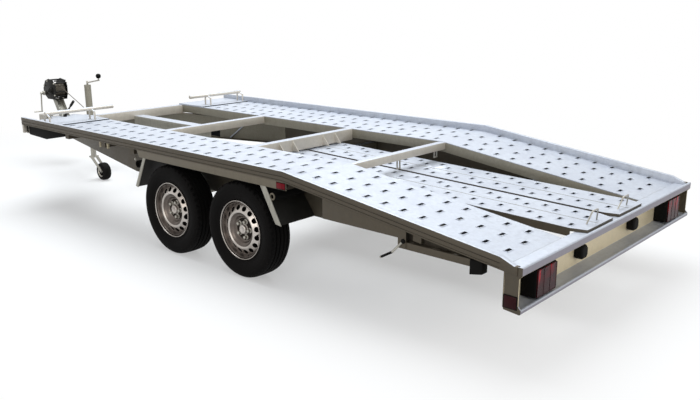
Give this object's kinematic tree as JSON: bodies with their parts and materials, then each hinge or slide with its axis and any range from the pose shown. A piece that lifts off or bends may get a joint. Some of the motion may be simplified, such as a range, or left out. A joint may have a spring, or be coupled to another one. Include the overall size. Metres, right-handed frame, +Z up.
{
  "type": "car carrier trailer",
  "caption": "Open twin-axle car carrier trailer with perforated tracks, sloped tail, stowed loading ramps, V drawbar, hand winch and jockey wheel.",
  "frame": {"origin": "centre of the overall box, on the ground", "axes": "+X forward towards the coupling, +Y to the left side of the trailer, +Z up"},
  "size_m": [6.4, 2.12, 0.988],
  "materials": {
    "galvanised": "dull galvanised, lightly weathered",
    "zinc": "zinc plated, worn",
    "black_plastic": "moulded black plastic",
    "black_rubber": "matt black rubber",
    "red_lens": "glossy red lens",
    "rim_silver": "silver painted steel",
    "tyre": "black rubber, dusty",
    "winch_black": "black painted steel",
    "wheel_grey": "solid black rubber"
  },
  "bodies": {
    "chassis": {"side_rail_left": "galvanised", "side_rail_right": "galvanised", "inner_stringer_left": "galvanised", "inner_stringer_right": "galvanised", "slope_plate_left": "galvanised", "slope_plate_right": "galvanised", "track_plate_left": "galvanised", "track_plate_right": "galvanised", "crossbeams": "galvanised", "outriggers_left": "galvanised", "outriggers_right": "galvanised", "main_beam_left": "galvanised", "main_beam_right": "galvanised", "drawbar_arm_left": "galvanised", "drawbar_arm_right": "galvanised", "centre_beam": "galvanised", "chassis_crossmembers": "galvanised", "rear_crossmember": "galvanised", "ramp_left": "galvanised", "ramp_right": "galvanised", "guard_stays": "galvanised", "side_skirts": "galvanised", "rear_side_panels": "galvanised", "drawbar_tie_plates": "galvanised", "winch_post": "galvanised", "axle_front": "galvanised", "axle_rear": "galvanised", "wheel_stops": "galvanised", "jockey_tube": "galvanised", "rear_lamps": "red_lens", "side_reflectors": "red_lens", "rear_buffers": "black_rubber", "overrun_bellows": "black_rubber", "mudguard_left": "black_plastic", "mudguard_right": "black_plastic", "corner_boxes": "black_plastic", "lock_tube_caps": "black_plastic", "jockey_crank": "zinc", "overrun_housing": "zinc", "coupling_head": "zinc", "winch_cable": "zinc", "winch_frame": "winch_black", "winch_drum": "winch_black", "winch_crank": "winch_black", "handbrake_lever": "winch_black", "ramp_lock_lever": "winch_black"},
    "wheel_front_left": {"tyre_front_left": "tyre", "rim_front_left": "rim_silver"},
    "wheel_front_right": {"tyre_front_right": "tyre", "rim_front_right": "rim_silver"},
    "wheel_rear_left": {"tyre_rear_left": "tyre", "rim_rear_left": "rim_silver"},
    "wheel_rear_right": {"tyre_rear_right": "tyre", "rim_rear_right": "rim_silver"},
    "jockey_leg": {"jockey_leg": "zinc"},
    "jockey_fork": {"jockey_fork": "zinc"},
    "jockey_wheel": {"jockey_wheel": "wheel_grey"}
  },
  "joints": [
    {"name": "wheel_front_left_spin", "type": "hinge", "parent": "chassis", "child": "wheel_front_left", "pos_m": [-0.615, 0.9755, 0.298], "axis": [0, 1, 0], "continuous": true},
    {"name": "wheel_front_right_spin", "type": "hinge", "parent": "chassis", "child": "wheel_front_right", "pos_m": [-0.615, -0.9755, 0.298], "axis": [0, 1, 0], "continuous": true},
    {"name": "wheel_rear_left_spin", "type": "hinge", "parent": "chassis", "child": "wheel_rear_left", "pos_m": [-1.305, 0.9755, 0.298], "axis": [0, 1, 0], "continuous": true},
    {"name": "wheel_rear_right_spin", "type": "hinge", "parent": "chassis", "child": "wheel_rear_right", "pos_m": [-1.305, -0.9755, 0.298], "axis": [0, 1, 0], "continuous": true},
    {"name": "jockey_leg_slide", "type": "slide", "parent": "chassis", "child": "jockey_leg", "axis": [0, 0, 1], "range_m": [-0.06, 0.15]},
    {"name": "jockey_fork_swivel", "type": "hinge", "parent": "jockey_leg", "child": "jockey_fork", "pos_m": [1.79, 0.22, 0.21], "axis": [0, 0, 1], "continuous": true},
    {"name": "jockey_wheel_spin", "type": "hinge", "parent": "jockey_fork", "child": "jockey_wheel", "pos_m": [1.68182, 0.19101, 0.082], "axis": [0.2588, -0.9659, 0], "continuous": true}
  ]
}
